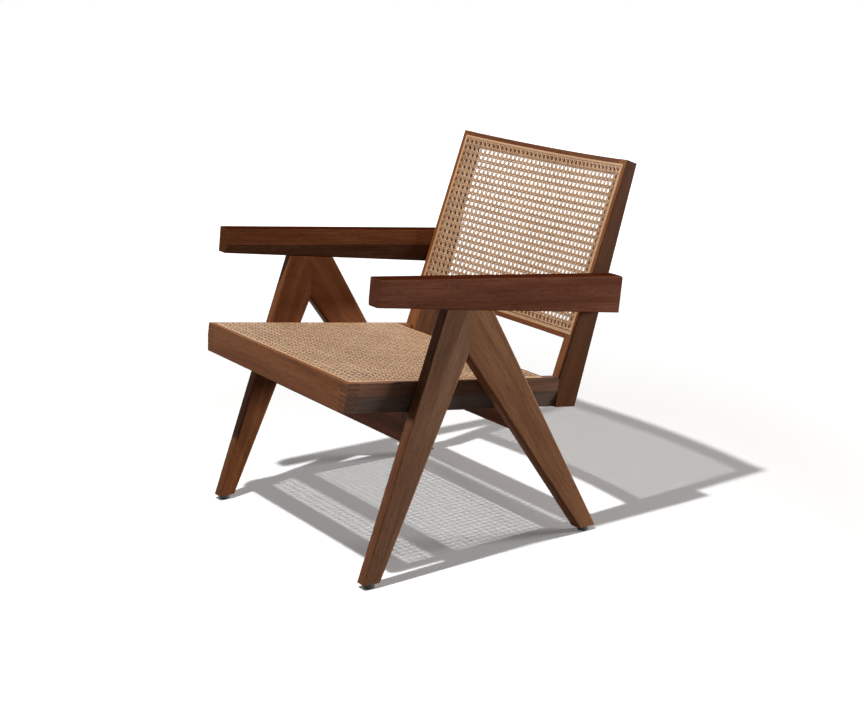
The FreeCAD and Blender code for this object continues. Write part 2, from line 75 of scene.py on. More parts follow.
# %% Helpers that add and wire nodes
def add_node(tree, kind, inputs=None, **settings):
    """Adds a node; inputs maps socket names or numbers to values or to sockets of other nodes."""
    node = tree.nodes.new(kind)
    for name, value in settings.items():
        setattr(node, name, value)
    for key, value in (inputs or {}).items():
        if isinstance(value, bpy.types.NodeSocket):
            tree.links.new(value, node.inputs[key])
        else:
            node.inputs[key].default_value = value
    return node


def maths(tree, operation, *values):
    """The result of one Math node."""
    return add_node(tree, "ShaderNodeMath", dict(enumerate(values)), operation=operation).outputs[0]


def share_between(tree, value, low, high, least=0.0, most=1.0):
    """Grows from least to most while a value goes from low to high."""
    return add_node(tree, "ShaderNodeMapRange", {
        "Value": value, "From Min": low, "From Max": high, "To Min": least, "To Max": most}).outputs[0]


def mixed(tree, share, first, second):
    """Mixes two numbers."""
    return add_node(tree, "ShaderNodeMix", {0: share, 2: first, 3: second}, data_type="FLOAT").outputs[0]


def blend(tree, share, first, second, mode="MIX"):
    """Mixes two colours."""
    return add_node(tree, "ShaderNodeMix", {0: share, 6: first, 7: second},
                    data_type="RGBA", blend_type=mode).outputs[2]


def ramp(tree, factor, stops):
    """A colour ramp through the given (place, colour) stops."""
    node = add_node(tree, "ShaderNodeValToRGB", {"Fac": factor})
    elements = node.color_ramp.elements
    while len(elements) < len(stops):
        elements.new(0.5)
    for element, (place, colour) in zip(elements, stops):
        element.position = place
        element.color = (*colour, 1)
    return node.outputs["Color"]


print("node helpers ready")

# %% [markdown]
# A material starts as a principled shader. Its small relief is a bump, which tilts the light on the surface
# without adding faces. The finished material goes into the one material slot of each solid piece.

# %% Helpers for materials
def new_material(name):
    """An empty node material and its principled shader, already joined to the output."""
    material = bpy.data.materials.new(name)
    material.use_nodes = True
    tree = material.node_tree
    return material, tree, tree.nodes["Principled BSDF"]


def raise_surface(tree, shader, height, strength, depth):
    """Relief of a given strength and of a depth in metres."""
    bump = add_node(tree, "ShaderNodeBump", {"Height": height, "Strength": strength, "Distance": depth})
    tree.links.new(bump.outputs["Normal"], shader.inputs["Normal"])


def dress(node, material):
    """Gives a solid piece its material."""
    slots = nodes[node].data.materials
    slots.clear()
    slots.append(material)


print("material helpers ready")

# %% [markdown]
# The frame is a dense, dark hardwood under oil. Three scales make it look like wood and not like brown
# paint: slow bands of colour a finger wide, fine fibres that run the length of the board, and short open
# pores that catch dirt. A picture of wood would need unwrapping. Noise, stretched along the grain, needs
# none: it fills the piece's own space, so that it runs through the solid and meets itself at every edge.

# %% The figure of the wood
wood_dark = (0.085, 0.0260, 0.0095)
wood_middle = (0.150, 0.0500, 0.0190)
wood_light = (0.235, 0.0860, 0.0350)
pore_colour = (0.030, 0.010, 0.005)
band_scale = (2.6, 34.0, 34.0)
fibre_scale = (9.0, 430.0, 430.0)
pore_scale = (55.0, 1500.0, 1500.0)
wood_stops = [(0.30, wood_dark), (0.50, wood_middle), (0.70, wood_light)]
fibre_share = 0.42
pore_range = (0.58, 0.70)
pore_share = 0.75
noise_roughness = 0.58


def stretched_noise(tree, coordinates, scale, detail, distortion=0.0):
    """Noise drawn out along X, which is the way the grain or the strand runs."""
    drawn = add_node(tree, "ShaderNodeVectorMath", {0: coordinates, 1: scale}, operation="MULTIPLY")
    noise = add_node(tree, "ShaderNodeTexNoise", {
        "Vector": drawn.outputs[0], "Scale": 1.0, "Detail": detail, "Roughness": noise_roughness,
        "Distortion": distortion})
    return noise.outputs["Fac"]


def wood_figure(tree, coordinates):
    """Colour of the bands, fibres and pores, then the fibres and the pores by themselves."""
    bands = stretched_noise(tree, coordinates, band_scale, detail=4.0, distortion=0.6)
    fibres = stretched_noise(tree, coordinates, fibre_scale, detail=3.0)
    pores = stretched_noise(tree, coordinates, pore_scale, detail=1.0)
    colour = ramp(tree, mixed(tree, fibre_share, bands, fibres), wood_stops)
    pores = share_between(tree, pores, *pore_range, most=pore_share)
    return blend(tree, pores, colour, (*pore_colour, 1)), fibres, pores


print("three scales of grain")

# %% [markdown]
# Wood also changes with the way a face looks. A face that looks along the grain is end grain, which drinks
# more oil and goes darker: that is what makes the finger joints readable. The other face shades are painted
# light and shade: painted shade darkens the tops of the arms and the faces that lean in under an arm or a
# rail, and some pieces have their sides painted lighter or darker than their fronts. Each face could have a
# material of its own, but the surface normal tells them apart, so one material serves a whole board.

# %% The faces of a board
end_grain_range = (0.72, 0.95)
end_grain_share = 0.62
side_range = (0.71, 0.95)
top_range = (0.38, 0.50)
under_range = (0.08, 0.16)


def end_grain(tree, normal, grain):
    """Share of end grain, greatest where a face looks along the grain."""
    facing = add_node(tree, "ShaderNodeVectorMath", {0: normal, 1: grain}, operation="DOT_PRODUCT")
    facing = maths(tree, "ABSOLUTE", facing.outputs["Value"])
    return share_between(tree, facing, *end_grain_range, most=end_grain_share)


def shaded_faces(tree, normal, colour, shades):
    """Colour with painted light and shade on the faces that look aside, up or down."""
    looks = add_node(tree, "ShaderNodeSeparateXYZ", {0: normal}).outputs
    outlooks = {
        "sides": share_between(tree, maths(tree, "ABSOLUTE", looks["X"]), *side_range),
        "tops": share_between(tree, looks["Z"], *top_range),
        "under": share_between(tree, maths(tree, "MULTIPLY", looks["Z"], -1.0), *under_range),
    }
    # each shade is painted light or shade on the faces that look that way
    for outlook, shade in shades.items():
        colour = blend(tree, outlooks[outlook], colour, (*shade, 1), "MULTIPLY")
    return colour


print("faces told apart by end grain and outlook")

# %% [markdown]
# The hardwood material puts figure and faces together. A Mapping node turns the piece's own grain onto the
# texture's X axis and shifts it by the number of the board, so no two boards show the same figure. The
# fibres also vary the gloss, and with the pores they raise the surface by less than half a millimetre.

# %% The hardwood
board_shift = (0.37, 0.213, 0.129)
wood_roughness = (0.42, 0.62)


def hardwood(name, grain, number, tint, shades, satin):
    """Oiled hardwood; number picks the board, tint its tone; tint and shades paint light and shade too."""
    material, tree, shader = new_material(name)
    place = add_node(tree, "ShaderNodeTexCoord").outputs
    mapping = add_node(tree, "ShaderNodeMapping", {
        "Vector": place["Object"], "Rotation": grain.rotation_difference(across).to_euler(),
        "Location": tuple(shift * number for shift in board_shift)})
    colour, fibres, pores = wood_figure(tree, mapping.outputs["Vector"])
    colour = blend(tree, end_grain(tree, place["Normal"], grain), colour, (*wood_dark, 1))
    # the face shades and part of the tint below are painted light and shade
    colour = shaded_faces(tree, place["Normal"], colour, shades)
    colour = blend(tree, 1.0, colour, (*tint, 1), "MULTIPLY")
    tree.links.new(colour, shader.inputs["Base Color"])
    tree.links.new(share_between(tree, fibres, 0.0, 1.0, *wood_roughness), shader.inputs["Roughness"])
    shader.inputs["Specular IOR Level"].default_value = satin
    raise_surface(tree, shader, maths(tree, "SUBTRACT", fibres, pores), strength=0.22, depth=0.0004)
    return material


print("hardwood ready for any board")

# %% [markdown]
# The chair is cut from many boards, and oil brings out how they differ: some are redder, some greyer. Each
# piece has a row below with its grain, its tint and the shades of its faces. The tints are partly the
# boards' own tone and partly painted light and shade: the cross rails under the seat are painted darker, and
# the bluer tints of the right-hand pieces paint in a grey sheen. The face shades are all painted light and
# shade. The arms are rubbed dull, and the rest keeps a trace of satin.

# %% The boards
# painted shade that darkens the tops of the arms
painted_top_shade = (0.34, 0.20, 0.13)
# painted shade, darker and bluer, on faces that lean in under an arm or a rail
painted_under_shade = (0.66, 0.88, 1.15)
dull = 0.0
faint_satin = 0.05
# each row's tint mixes the board's tone with painted light, shade and grey sheen; its face shades are
# painted
wood_pieces = [
    ("right_front_leg", front_leg_along, (0.84, 0.97, 1.15), {"sides": (1.46, 1.80, 2.16)}),
    ("left_front_leg", front_leg_along, (1.04, 1.08, 0.98), {}),
    ("right_rear_leg", rear_leg_along, (1.35, 1.45, 1.45), {"sides": (1.03, 1.22, 1.39)}),
    ("left_rear_leg", rear_leg_along, (0.92, 0.90, 0.80), {}),
    ("right_arm", arm_along, (1.00, 1.08, 1.60), {"tops": painted_top_shade}),
    ("left_arm", arm_along, (1.02, 1.05, 1.15), {"tops": painted_top_shade, "under": painted_under_shade}),
    ("right_stile", back_up, (1.32, 1.42, 1.15), {"sides": (0.38, 0.30, 0.17)}),
    ("left_stile", back_up, (1.38, 1.48, 1.36), {"sides": (0.46, 0.45, 0.46)}),
    ("right_seat_rail", seat_along, (1.00, 1.42, 2.15), {"under": painted_under_shade}),
    ("left_seat_rail", seat_along, (1.50, 1.60, 1.60), {"under": painted_under_shade}),
    ("front_cross_rail", across, (0.62, 0.50, 0.40), {}),
    ("rear_cross_rail", across, (0.80, 0.70, 0.60), {}),
    ("seat_front_rail", across, (1.20, 1.30, 1.32), {"sides": (0.86, 1.02, 1.40)}),
    ("seat_rear_rail", across, (1.00, 1.00, 1.00), {}),
    ("back_bottom_rail", across, (1.10, 1.10, 1.05), {}),
    ("back_top_rail", across, (0.92, 0.98, 1.05), {}),
]
for number, (node, grain, tint, shades) in enumerate(wood_pieces):
    satin = dull if "arm" in node else faint_satin
    dress(node, hardwood("hardwood_" + node, grain, number, tint, shades, satin))
print("hardwood on", len(wood_pieces), "pieces")

# %% [markdown]
# The reed spline is the round core of the same palm that gives the cane, pressed over the cane into its
# groove. A plain pale colour would do from afar, but close by the straight fibres tell reed from plastic.
# They run along each strip, so the strips across the chair and the strips along it need a pattern of their
# own direction.

# %% The reed
reed_dark = (0.39, 0.208, 0.102)
reed_light = (0.56, 0.324, 0.170)
reed_stops = [(0.34, reed_dark), (0.64, reed_light)]
reed_fibre_scale = (14.0, 900.0, 900.0)
reed_patch_scale = (6.0, 60.0, 60.0)


def reed(name, run):
    """Pale reed with fibres along the given run."""
    material, tree, shader = new_material(name)
    place = add_node(tree, "ShaderNodeTexCoord").outputs["Object"]
    mapping = add_node(tree, "ShaderNodeMapping", {
        "Vector": place, "Rotation": run.rotation_difference(across).to_euler()})
    fibres = stretched_noise(tree, mapping.outputs["Vector"], reed_fibre_scale, detail=2.0)
    patches = stretched_noise(tree, mapping.outputs["Vector"], reed_patch_scale, detail=2.0)
    colour = ramp(tree, mixed(tree, 0.5, fibres, patches), reed_stops)
    tree.links.new(colour, shader.inputs["Base Color"])
    shader.inputs["Roughness"].default_value = 0.42
    raise_surface(tree, shader, fibres, strength=0.25, depth=0.0003)
    return material


reed_across = reed("reed_across", across)
reed_lengthwise = {"seat": reed("reed_along_seat", seat_along), "back": reed("reed_up_back", back_up)}
for panel, lengthwise in reed_lengthwise.items():
    for edge in ("right", "left"):
        dress(panel + "_spline_" + edge, lengthwise)
    for edge in ("near", "far"):
        dress(panel + "_spline_" + edge, reed_across)
print("reed on the four strips of each panel")

# %% [markdown]
# The glides are black moulded plugs and the screws plain steel. Both are small, but a flat colour would
# still look like a hole in the picture, so a fine mottle changes the colour and the gloss of each.

# %% Glides and screws
def small_fitting(name, dark, light, roughness, metallic, scale):
    """Mottled material for a small fitting; roughness is its least and greatest."""
    material, tree, shader = new_material(name)
    place = add_node(tree, "ShaderNodeTexCoord").outputs["Object"]
    noise = add_node(tree, "ShaderNodeTexNoise", {"Vector": place, "Scale": scale, "Detail": 4.0})
    mottle = noise.outputs["Fac"]
    tree.links.new(ramp(tree, mottle, [(0.35, dark), (0.65, light)]), shader.inputs["Base Color"])
    tree.links.new(share_between(tree, mottle, 0.0, 1.0, *roughness), shader.inputs["Roughness"])
    shader.inputs["Metallic"].default_value = metallic
    raise_surface(tree, shader, mottle, strength=0.1, depth=0.0002)
    return material


black_plastic = small_fitting(
    "black_plastic", dark=(0.010, 0.009, 0.009), light=(0.020, 0.018, 0.017),
    roughness=(0.45, 0.65), metallic=0.0, scale=260.0)
plain_steel = small_fitting(
    "plain_steel", dark=(0.42, 0.40, 0.37), light=(0.58, 0.56, 0.53),
    roughness=(0.28, 0.45), metallic=1.0, scale=500.0)
for node in nodes:
    if node.endswith("_glide"):
        dress(node, black_plastic)
    elif node.endswith("_screws"):
        dress(node, plain_steel)
print("black plastic on the glides, steel on the screws")

# %% [markdown]
# Cane is the glossy bark of a climbing palm, split into flat strands. One colour for all of them would look
# printed, so the weave below stores a random tone on each strand and the distance along it. The material
# reads both: the tone picks the colour, and a noise along the strand adds the slow change from node to
# node of the plant. Fine dark flecks lie over all of it.

# %% The cane strands' material
cane_dark = (0.258, 0.137, 0.067)
cane_middle = (0.418, 0.249, 0.136)
cane_light = (0.530, 0.343, 0.198)
cane_stops = [(0.15, cane_dark), (0.48, cane_middle), (0.85, cane_light)]
cane_scale = (28.0, 61.0, 1.0)
fleck_scale = 1100.0
fleck_range = (0.55, 0.75)
fleck_share = 0.35


def split_cane(name):
    """Cane whose colour follows the strand attributes tone and run."""
    material, tree, shader = new_material(name)
    tone = add_node(tree, "ShaderNodeAttribute", attribute_name="tone").outputs["Fac"]
    run = add_node(tree, "ShaderNodeAttribute", attribute_name="run").outputs["Fac"]
    strand_place = add_node(tree, "ShaderNodeCombineXYZ", {"X": run, "Y": tone}).outputs[0]
    slow_change = stretched_noise(tree, strand_place, cane_scale, detail=3.0)
    colour = ramp(tree, mixed(tree, 0.5, tone, slow_change), cane_stops)
    place = add_node(tree, "ShaderNodeTexCoord").outputs["Object"]
    noise = add_node(tree, "ShaderNodeTexNoise", {"Vector": place, "Scale": fleck_scale, "Detail": 2.0})
    flecks = share_between(tree, noise.outputs["Fac"], *fleck_range, most=fleck_share)
    tree.links.new(blend(tree, flecks, colour, (*cane_dark, 1)), shader.inputs["Base Color"])
    shader.inputs["Roughness"].default_value = 0.40
    raise_surface(tree, shader, noise.outputs["Fac"], strength=0.12, depth=0.0002)
    return material


cane = split_cane("split_cane")
print(cane.name, "reads the strand attributes tone and run")

# %% [markdown]
# The weave could be a picture with holes, but then its strands would have no thickness and no over and
# under. It follows a rule, so Geometry Nodes make it. Pairs of strands run both ways, a pair to each pitch,
# and single strands cross on both diagonals half a pitch away from the pairs, which leaves the eight-sided
# holes. A formula is easier to follow than a web of maths nodes, so a small class lets a socket be added,
# multiplied and compared like a number, and each operation quietly becomes a Math node in the tree.

# %% Node sockets that behave like numbers
class Field:
    """A socket of a node tree on which arithmetic makes Math nodes."""

    rounding_margin = 0.001

    def __init__(self, tree, socket):
        self.tree = tree
        self.socket = socket

    def math(self, operation, *others):
        values = [other.socket if isinstance(other, Field) else other for other in others]
        return Field(self.tree, maths(self.tree, operation, self.socket, *values))

    def __add__(self, other):
        return self.math("ADD", other)

    def __sub__(self, other):
        return self.math("SUBTRACT", other)

    def __mul__(self, other):
        return self.math("MULTIPLY", other)

    def __truediv__(self, other):
        return self.math("DIVIDE", other)

    def above(self, other):
        return self.math("GREATER_THAN", other)

    def floor(self):
        return (self + self.rounding_margin).math("FLOOR")

    def between(self, low, high):
        return self.math("MAXIMUM", low).math("MINIMUM", high)


print("field arithmetic ready")

# %% [markdown]
# Each strand is a row of points that becomes a curve and then a flat strip. A strand needs points only where
# it crosses another, because there it goes over or under. The paired strands have three points to a pitch:
# one at each strand of the crossing pair and one half way to the next pair. The diagonals have two: one over
# a pair of one kind and one under a pair of the other. Points past the edge of the panel are pulled back to
# the edge, and one more point at each end dives into the groove under the reed.

# %% The points of a strand
paired_points = 3.0
diagonal_points = 2.0
end_points = 6.0


def paired_station(sample, spread):
    """Place, in pitches, of a paired strand's point: both strands of each pair it meets, then half way."""
    pair = (sample / paired_points).floor()
    step = sample - pair * paired_points
    # the two products add up to -spread, +spread and one half at the three steps
    return pair - 1.0 + spread * (step * 2.0 - 1.0) + step * (step - 1.0) * (spread * -1.5 + 0.25)


def diagonal_station(sample, spread):
    """Place, in pitches, of a diagonal strand's point: evenly spaced, whatever the spread of the pairs."""
    return sample / diagonal_points - 1.0


def strand_points(sample, station, spread, low, high):
    """Where a point lies, kept between low and high, and whether it is inside, diving or spare."""
    here = station(sample, spread)
    before = [station(sample - step, spread) for step in (1.0, 2.0)]
    after = [station(sample + step, spread) for step in (1.0, 2.0)]
    inside = here.above(low) * (high - here).above(0.0)
    dive_low = (low - after[0]).above(0.0)
    dive_high = before[0].above(high)
    spare = (low - after[1]).above(0.0).math("MAXIMUM", before[1].above(high))
    return here.between(low, high), inside, dive_high - dive_low, dive_high + dive_low, spare


print(int(paired_points), "points to a pitch on the pairs,", int(diagonal_points), "on the diagonals")

# %% [markdown]
# Now the tree. Its inputs are the sizes a caner would give: the panel, the pitch both ways, the width of a
# strand and the gap inside a pair. It lays the four families of strands out flat, with u across, v along and
# w out of the panel. A strand's section is a low trapezium, because the edges of split cane are eased.

# %% The inputs of the weave
weave = bpy.data.node_groups.new("woven_cane", "GeometryNodeTree")
weave.interface.new_socket("Panel", in_out="OUTPUT", socket_type="NodeSocketGeometry")
weave_inputs = {
    "NodeSocketFloat": [
        "Half Width", "Near End", "Far End", "Pitch Across", "Pitch Along", "First Column", "First Row",
        "Pair Gap", "Strand Width", "Strand Thickness", "Pair Lift", "Diagonal Lift", "Dive", "Bow Radius"],
    "NodeSocketInt": ["Columns", "Rows", "Seed"],
    "NodeSocketVector": ["Middle", "Along", "Out"],
    "NodeSocketMaterial": ["Strand Finish"],
}
for kind, names in weave_inputs.items():
    for name in names:
        weave.interface.new_socket(name, in_out="INPUT", socket_type=kind)
weave_in = weave.nodes.new("NodeGroupInput")
weave_out = weave.nodes.new("NodeGroupOutput")
size = {name: Field(weave, weave_in.outputs[name])
        for name in weave_inputs["NodeSocketFloat"] + weave_inputs["NodeSocketInt"]}
point_number = Field(weave, weave.nodes.new("GeometryNodeInputIndex").outputs[0])
narrow_side_share = 0.62
strip_section = add_node(weave, "GeometryNodeCurvePrimitiveQuadrilateral", {
    "Height": size["Strand Thickness"].socket, "Top Width": size["Strand Width"].socket,
    "Bottom Width": (size["Strand Width"] * narrow_side_share).socket, "Offset": 0.0}, mode="TRAPEZOID")
print("the weave has", len(weave.interface.items_tree), "sockets")

# %% [markdown]
# A family is all the strands that run one way. Its points are made in one go, numbered strand by strand, and
# each carries its strand's number, its tone and its place along the strand. Points to Curves then strings
# together the points of the same number, and Curve to Mesh gives each string the section of a strand.

# %% A family of strands
def stored(name, kind):
    """A stored attribute of the points."""
    return add_node(weave, "GeometryNodeInputNamedAttribute", {"Name": name}, data_type=kind).outputs[0]


def strip_family(strands, samples, strand, place, run, spare, seed):
    """Flat strips from points: strand numbers the strip, place is (u, v, w), run the distance along it."""
    position = add_node(weave, "ShaderNodeCombineXYZ", {i: part.socket for i, part in enumerate(place)})
    points = add_node(weave, "GeometryNodePoints", {
        "Count": (strands * samples).socket, "Position": position.outputs[0]}).outputs[0]
    tone = add_node(weave, "FunctionNodeRandomValue", {
        "ID": strand.socket, "Seed": (size["Seed"] + seed).socket}, data_type="FLOAT").outputs[1]
    for name, value, kind in (("strand", strand.socket, "INT"), ("run", run.socket, "FLOAT"),
                              ("tone", tone, "FLOAT"), ("spare", spare.socket, "FLOAT")):
        points = add_node(weave, "GeometryNodeStoreNamedAttribute", {
            "Geometry": points, "Name": name, "Value": value}, data_type=kind, domain="POINT").outputs[0]
    points = add_node(weave, "GeometryNodeDeleteGeometry", {
        "Geometry": points, "Selection": stored("spare", "FLOAT")}, domain="POINT").outputs[0]
    curves = add_node(weave, "GeometryNodePointsToCurves", {
        "Points": points, "Curve Group ID": stored("strand", "INT"),
        "Weight": stored("run", "FLOAT")}).outputs[0]
    curves = add_node(weave, "GeometryNodeSetCurveNormal", {"Curve": curves}, mode="Z_UP").outputs[0]
    return add_node(weave, "GeometryNodeCurveToMesh", {
        "Curve": curves, "Profile Curve": strip_section.outputs[0], "Fill Caps": True}).outputs[0]


def numbered(samples):
    """Number of a point's strand and of the point on it."""
    strand = (point_number / samples).floor()
    return strand, point_number - strand * samples


print("a family is strung from numbered points")

# %% [markdown]
# A paired strand goes over one strand of each pair it meets and under the other, and its twin does so the
# other way round: that is what locks the weave. The same rule serves the pairs along and the pairs across.
# The run of a point grows by a hair with its number, so that points pulled back to one edge stay in order.

# %% The paired strands
order_step = 0.00001
columns = [size[name] for name in ("Columns", "First Column", "Pitch Across")]
rows = [size[name] for name in ("Rows", "First Row", "Pitch Along")]


def paired_family(own, crossed, low, high, sign, seed):
    """Pairs of strands one way, up or down by turns as they meet the pairs that run the other way."""
    count, first, pitch = own
    crossed_count, crossed_first, crossed_pitch = crossed
    samples = crossed_count * paired_points + end_points
    strand, sample = numbered(samples)
    pair = (strand / 2.0).floor()
    side = strand - pair * 2.0
    aside = first + pair * pitch + (side - 0.5) * size["Pair Gap"]
    spread = size["Pair Gap"] / crossed_pitch * 0.5
    low = (low - crossed_first) / crossed_pitch
    high = (high - crossed_first) / crossed_pitch
    station, inside, outward, dives, spare = strand_points(sample, paired_station, spread, low, high)
    step = sample - (sample / paired_points).floor() * paired_points
    # the first bracket is 1 and -1 for the twins, the second 1, -1 and 0 at the three steps
    over = (side * -2.0 + 1.0) * (step * -2.0 + 1.0 + step * (step - 1.0) * 1.5) * sign
    along = crossed_first + station * crossed_pitch + outward * size["Strand Thickness"]
    w = inside * over * size["Pair Lift"] - dives * size["Dive"]
    place = (aside, along, w) if own is columns else (along, aside, w)
    return strip_family(count * 2.0, samples, strand, place, along + sample * order_step, spare, seed)


pairs_along = paired_family(columns, rows, size["Near End"], size["Far End"], sign=1.0, seed=1.0)
pairs_across = paired_family(
    rows, columns, size["Half Width"] * -1.0, size["Half Width"], sign=-1.0, seed=2.0)
print("pairs along and pairs across")

# %% [markdown]
# When cane is woven by hand, the diagonals come last. Each goes over all the pairs of one way and under all
# those of the other, and the diagonals of the second family do the reverse. Near the corners of the panel
# they get short, and those that would miss it are left out.

# %% The diagonal strands
shortest_diagonal = 0.02


def diagonal_family(sign, seed):
    """Single strands on one diagonal: over the pairs along and under the pairs across, or the reverse."""
    samples = size["Columns"] * diagonal_points + end_points
    strands = size["Columns"] + size["Rows"] + 2.0
    strand, sample = numbered(samples)
    ends = [(size[end] - size["First Row"]) / size["Pitch Along"] for end in ("Near End", "Far End")]
    sides = [(size["Half Width"] * way - size["First Column"]) / size["Pitch Across"] for way in (-1.0, 1.0)]
    if sign > 0:
        line = strand - 0.5
        low, high = line - ends[1], line - ends[0]
    else:
        line = strand - size["Rows"] - 0.5
        low, high = line + ends[0], line + ends[1]
    low = low.math("MAXIMUM", sides[0])
    high = high.math("MINIMUM", sides[1])
    station, inside, outward, dives, spare = strand_points(sample, diagonal_station, 0.0, low, high)
    spare = spare.math("MAXIMUM", (low + shortest_diagonal).above(high))
    station = station + outward * size["Strand Thickness"] / size["Pitch Across"]
    # the bracket is 1 and -1 by turns
    over = ((sample / diagonal_points).floor() * 4.0 - sample * 2.0 + 1.0) * sign
    u = size["First Column"] + station * size["Pitch Across"]
    v = size["First Row"] + ((line - station) if sign > 0 else (station - line)) * size["Pitch Along"]
    w = inside * over * size["Diagonal Lift"] - dives * size["Dive"]
    return strip_family(strands, samples, strand, (u, v, w), u + sample * order_step, spare, seed)


families = [pairs_along, pairs_across,
            diagonal_family(sign=1.0, seed=3.0), diagonal_family(sign=-1.0, seed=4.0)]
flat_sheet = add_node(weave, "GeometryNodeJoinGeometry")
for family in families:
    weave.links.new(family, flat_sheet.inputs[0])
print(len(families), "families of strands in one flat sheet")

# %% [markdown]
# The last step carries the flat sheet to its place on the chair, round a bow of a given radius. The seat is
# flat, and a bow of a very large radius is flat, so one formula serves both panels.

# %% The flat sheet carried to its place
flat_place = add_node(weave, "ShaderNodeSeparateXYZ", {
    0: weave.nodes.new("GeometryNodeInputPosition").outputs[0]})
u, v, w = [Field(weave, socket) for socket in flat_place.outputs]
turn = u / size["Bow Radius"]
half_sine = (turn * 0.5).math("SINE")
bow_aside = turn.math("SINE") * (size["Bow Radius"] - w)
bow_out = half_sine * half_sine * size["Bow Radius"] * 2.0 + w * turn.math("COSINE")
bowed = weave_in.outputs["Middle"]
for length, way in ((bow_aside, tuple(across)), (v, weave_in.outputs["Along"]),
                    (bow_out, weave_in.outputs["Out"])):
    part = add_node(weave, "ShaderNodeVectorMath", {0: way, "Scale": length.socket}, operation="SCALE")
    bowed = add_node(weave, "ShaderNodeVectorMath", {
        0: bowed, 1: part.outputs[0]}, operation="ADD").outputs[0]
sheet = add_node(weave, "GeometryNodeSetPosition", {
    "Geometry": flat_sheet.outputs[0], "Position": bowed}).outputs[0]
for name in ("strand", "spare"):
    sheet = add_node(weave, "GeometryNodeRemoveAttribute", {"Geometry": sheet, "Name": name}).outputs[0]
sheet = add_node(weave, "GeometryNodeSetShadeSmooth", {"Geometry": sheet, "Shade Smooth": True}).outputs[0]
sheet = add_node(weave, "GeometryNodeRealizeInstances", {"Geometry": sheet}).outputs[0]
sheet = add_node(weave, "GeometryNodeSetMaterial", {
    "Geometry": sheet, "Material": weave_in.outputs["Strand Finish"]}).outputs[0]
weave.links.new(sheet, weave_out.inputs[0])
print("the tree has", len(weave.nodes), "nodes")

# %% [markdown]
# A modifier runs the tree on an empty mesh. Its inputs are set by each socket's identifier, before the
# object is evaluated for the first time. The result is then copied into a plain mesh, because the export
# wants meshes and not modifiers, and the helper object goes away.

# %% Weave a panel
def woven_panel(name, sizes):
    """Runs the weave with the given sizes and returns a plain mesh object."""
    helper = bpy.data.objects.new(name + "_helper", bpy.data.meshes.new(name + "_helper"))
    bpy.context.scene.collection.objects.link(helper)
    modifier = helper.modifiers.new("weave", "NODES")
    modifier.node_group = weave
    for item in weave.interface.items_tree:
        if item.in_out == "INPUT":
            modifier[item.identifier] = sizes[item.name]
    depsgraph = bpy.context.evaluated_depsgraph_get()
    mesh = bpy.data.meshes.new_from_object(
        helper.evaluated_get(depsgraph), preserve_all_data_layers=True, depsgraph=depsgraph)
    bpy.data.objects.remove(helper)
    mesh.name = name
    panel = bpy.data.objects.new(name, mesh)
    bpy.context.scene.collection.objects.link(panel)
    mesh.calc_loop_triangles()
    print(name, "has", len(mesh.loop_triangles), "triangles")
    return panel


def reach(node, way):
    """Least and greatest distance of a solid piece's corners along a direction."""
    places = [corner.co.dot(way) for corner in nodes[node].data.vertices]
    return min(places), max(places)


print("panels can be woven")

# %% [markdown]
# Cane webbing is woven by machine and sold by the roll, by the size of its mesh. This is the common
# half-inch mesh, with strands under three millimetres wide. All lengths are in metres. The last two are
# those of the solid panels that the weave stands for: their thickness, and that of the lip at their edge.

# %% The cane webbing
mesh_across = 0.0136
mesh_along = 0.0146
cane_stock = {
    "Pitch Across": mesh_across, "Pitch Along": mesh_along, "Pair Gap": 0.0043, "Strand Width": 0.0027,
    "Strand Thickness": 0.00100, "Pair Lift": 0.00055, "Diagonal Lift": 0.00105, "Dive": 0.0045,
    "Strand Finish": cane,
}
panel_thickness = 0.0012
panel_lip = 0.0010
print("half-inch mesh,", cane_stock["Strand Width"] * 1000, "mm strands")

# %% [markdown]
# The seat panel takes its edges from the solid panel it stands for: how far that reaches across, along the
# slope and up. The strands end at the lip of that panel, where the real ones are turned down into the
# groove. They are a little thicker than those of the back, because they carry more weight, and so the holes
# close when one looks across the seat from a low angle.

# %% The seat panel
seat_columns = 38
seat_rows = 30
first_row_inset = 0.0075
flat_radius = 1000.0
seat_half = reach("seat_cane", across)[1] - panel_lip
seat_near, seat_far = reach("seat_cane", seat_along)
seat_height = reach("seat_cane", seat_up)[1] - panel_thickness / 2
seat_sizes = {
    **cane_stock, "Strand Thickness": 0.00130, "Pair Lift": 0.00070, "Diagonal Lift": 0.00140,
    "Half Width": seat_half, "Near End": seat_near + panel_lip, "Far End": seat_far - panel_lip,
    "First Column": -(seat_columns - 1) / 2 * mesh_across, "First Row": seat_near + first_row_inset,
    "Columns": seat_columns, "Rows": seat_rows, "Seed": 11, "Bow Radius": flat_radius,
    "Middle": seat_up * seat_height, "Along": seat_along, "Out": seat_up,
}
woven_seat = woven_panel("woven_seat", seat_sizes)
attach(woven_seat, "root")
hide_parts("seat_cane")

# %% [markdown]
# The back panel is bent to the bow of the back rails. Its width is measured round the bow, so that the
# pitch of the mesh stays that of the flat webbing. The bow is found from how far its middle lies behind its
# ends.

